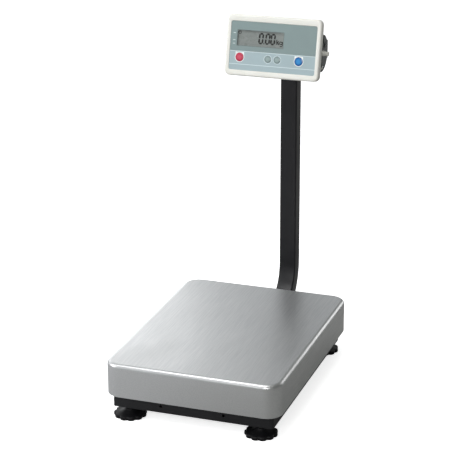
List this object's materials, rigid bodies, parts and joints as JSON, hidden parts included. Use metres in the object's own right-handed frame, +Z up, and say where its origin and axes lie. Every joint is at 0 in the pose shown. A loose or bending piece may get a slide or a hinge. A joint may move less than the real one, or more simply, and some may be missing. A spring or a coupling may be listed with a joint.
{
  "type": "animal weighing scale",
  "caption": "Bench-style animal weighing scale: a rounded stainless pan on a levelled base, with a tilting digital display on a bent rear column.",
  "frame": {"origin": "on the floor, under the middle of the whole footprint", "axes": "+Z up, +Y from the user towards the column, +X to the user's right"},
  "size_m": [0.39, 0.7212, 0.7597],
  "materials": {
    "stainless": "long-grain brushed stainless sheet",
    "black_paint": "fine-textured semi-gloss black powder coat",
    "zinc_steel": "bright zinc plating",
    "carrier_steel": "dull zinc-grey coated folded steel",
    "cell_aluminium": "machined aluminium",
    "black_rubber": "matt moulded rubber",
    "black_plastic": "matt moulded plastic",
    "ivory_plastic": "fine-textured moulded plastic",
    "face_print": "satin printed polycarbonate sheet in two grey-blue fields",
    "clear_window": "clear acrylic",
    "readout_grey": "grey reflective liquid crystal panel",
    "board_green": "green solder mask",
    "red_key": "domed glossy plastic",
    "blue_key": "domed glossy plastic",
    "grey_key": "domed glossy plastic",
    "battery_wrap": "shrink-wrapped battery pack",
    "cable_black": "round black cable sheath"
  },
  "bodies": {
    "base": {"front_rail": "black_paint", "rear_rail": "black_paint", "left_rail": "black_paint", "right_rail": "black_paint", "centre_beam": "black_paint", "lower_spacer": "zinc_steel", "load_cell": "cell_aluminium", "column_tube": "black_paint", "column_flange": "black_paint", "column_cap": "black_plastic", "flange_bolt_left": "zinc_steel", "flange_bolt_right": "zinc_steel", "signal_cable": "cable_black", "level_vial": "ivory_plastic", "display_arm": "black_paint", "yoke": "black_paint", "foot_nut_front_left": "zinc_steel", "foot_nut_front_right": "zinc_steel", "foot_nut_rear_left": "zinc_steel", "foot_nut_rear_right": "zinc_steel", "overload_stop_front_left": "zinc_steel", "overload_stop_front_right": "zinc_steel", "overload_stop_rear_left": "zinc_steel", "overload_stop_rear_right": "zinc_steel"},
    "carrier": {"upper_spacer": "zinc_steel", "platform_spine": "carrier_steel", "platform_arm_front": "carrier_steel", "platform_arm_rear": "carrier_steel", "cushion_front_left": "black_rubber", "cushion_front_right": "black_rubber", "cushion_rear_left": "black_rubber", "cushion_rear_right": "black_rubber"},
    "pan": {"weighing_pan": "stainless"},
    "display_head": {"front_shell": "ivory_plastic", "rear_shell": "ivory_plastic", "face_sheet": "face_print", "readout_window": "clear_window", "readout_module": "readout_grey", "circuit_board": "board_green", "battery_pack": "battery_wrap", "power_inlet": "black_plastic", "friction_pad_left": "black_rubber", "friction_pad_right": "black_rubber"},
    "power_button": {"power_key": "red_key"},
    "unit_button": {"unit_key": "grey_key"},
    "hold_button": {"hold_key": "grey_key"},
    "zero_button": {"zero_key": "blue_key"},
    "clamp_screw_left": {"clamp_stud_left": "zinc_steel"},
    "clamp_screw_right": {"clamp_stud_right": "zinc_steel"},
    "cap_left": {"clamp_cap_left": "ivory_plastic"},
    "knob_right": {"clamp_knob_right": "ivory_plastic"},
    "foot_screw_front_left": {"foot_stud_front_left": "zinc_steel"},
    "foot_front_left": {"foot_pad_front_left": "black_rubber"},
    "foot_screw_front_right": {"foot_stud_front_right": "zinc_steel"},
    "foot_front_right": {"foot_pad_front_right": "black_rubber"},
    "foot_screw_rear_left": {"foot_stud_rear_left": "zinc_steel"},
    "foot_rear_left": {"foot_pad_rear_left": "black_rubber"},
    "foot_screw_rear_right": {"foot_stud_rear_right": "zinc_steel"},
    "foot_rear_right": {"foot_pad_rear_right": "black_rubber"}
  },
  "joints": [
    {"name": "carrier_deflection", "type": "slide", "parent": "base", "child": "carrier", "axis": [0, 0, -1], "range_m": [0, 0.00025], "stiffness_N_per_m": 2500000, "springref_m": -0.00004},
    {"name": "pan_lift", "type": "slide", "parent": "carrier", "child": "pan", "axis": [0, 0, 1], "range_m": [0, 0.12]},
    {"name": "display_tilt", "type": "hinge", "parent": "base", "child": "display_head", "pos_m": [0, 0.22247, 0.6826], "axis": [1, 0, 0], "range_deg": [-17, 13]},
    {"name": "power_press", "type": "slide", "parent": "display_head", "child": "power_button", "axis": [0, 0.9744, -0.225], "range_m": [0, 0.0007], "stiffness_N_per_m": 1500, "springref_m": -0.0002},
    {"name": "unit_press", "type": "slide", "parent": "display_head", "child": "unit_button", "axis": [0, 0.9744, -0.225], "range_m": [0, 0.0007], "stiffness_N_per_m": 1500, "springref_m": -0.0002},
    {"name": "hold_press", "type": "slide", "parent": "display_head", "child": "hold_button", "axis": [0, 0.9744, -0.225], "range_m": [0, 0.0007], "stiffness_N_per_m": 1500, "springref_m": -0.0002},
    {"name": "zero_press", "type": "slide", "parent": "display_head", "child": "zero_button", "axis": [0, 0.9744, -0.225], "range_m": [0, 0.0007], "stiffness_N_per_m": 1500, "springref_m": -0.0002},
    {"name": "clamp_screw_left", "type": "slide", "parent": "base", "child": "clamp_screw_left", "axis": [-1, 0, 0], "range_m": [0, 0.0012]},
    {"name": "cap_turn_left", "type": "hinge", "parent": "clamp_screw_left", "child": "cap_left", "pos_m": [-0.115, 0.22247, 0.6826], "axis": [-1, 0, 0], "range_deg": [0, 540.5]},
    {"name": "clamp_screw_right", "type": "slide", "parent": "base", "child": "clamp_screw_right", "axis": [1, 0, 0], "range_m": [0, 0.0012]},
    {"name": "knob_turn_right", "type": "hinge", "parent": "clamp_screw_right", "child": "knob_right", "pos_m": [0.115, 0.22247, 0.6826], "axis": [1, 0, 0], "range_deg": [0, 540.5]},
    {"name": "foot_screw_front_left", "type": "slide", "parent": "base", "child": "foot_screw_front_left", "axis": [0, 0, -1], "range_m": [0, 0.009]},
    {"name": "foot_turn_front_left", "type": "hinge", "parent": "foot_screw_front_left", "child": "foot_front_left", "pos_m": [-0.147, -0.32493, 0.01], "axis": [0, 0, -1], "range_deg": [0, 2161]},
    {"name": "foot_screw_front_right", "type": "slide", "parent": "base", "child": "foot_screw_front_right", "axis": [0, 0, -1], "range_m": [0, 0.009]},
    {"name": "foot_turn_front_right", "type": "hinge", "parent": "foot_screw_front_right", "child": "foot_front_right", "pos_m": [0.147, -0.32493, 0.01], "axis": [0, 0, -1], "range_deg": [0, 2161]},
    {"name": "foot_screw_rear_left", "type": "slide", "parent": "base", "child": "foot_screw_rear_left", "axis": [0, 0, -1], "range_m": [0, 0.009]},
    {"name": "foot_turn_rear_left", "type": "hinge", "parent": "foot_screw_rear_left", "child": "foot_rear_left", "pos_m": [-0.147, 0.13507, 0.01], "axis": [0, 0, -1], "range_deg": [0, 2161]},
    {"name": "foot_screw_rear_right", "type": "slide", "parent": "base", "child": "foot_screw_rear_right", "axis": [0, 0, -1], "range_m": [0, 0.009]},
    {"name": "foot_turn_rear_right", "type": "hinge", "parent": "foot_screw_rear_right", "child": "foot_rear_right", "pos_m": [0.147, 0.13507, 0.01], "axis": [0, 0, -1], "range_deg": [0, 2161]}
  ],
  "couplings": [
    {"joint": "cap_turn_left", "follows": "clamp_screw_left", "rad_per_m": 7854},
    {"joint": "knob_turn_right", "follows": "clamp_screw_right", "rad_per_m": 7854},
    {"joint": "foot_turn_front_left", "follows": "foot_screw_front_left", "rad_per_m": 4188.8},
    {"joint": "foot_turn_front_right", "follows": "foot_screw_front_right", "rad_per_m": 4188.8},
    {"joint": "foot_turn_rear_left", "follows": "foot_screw_rear_left", "rad_per_m": 4188.8},
    {"joint": "foot_turn_rear_right", "follows": "foot_screw_rear_right", "rad_per_m": 4188.8}
  ]
}
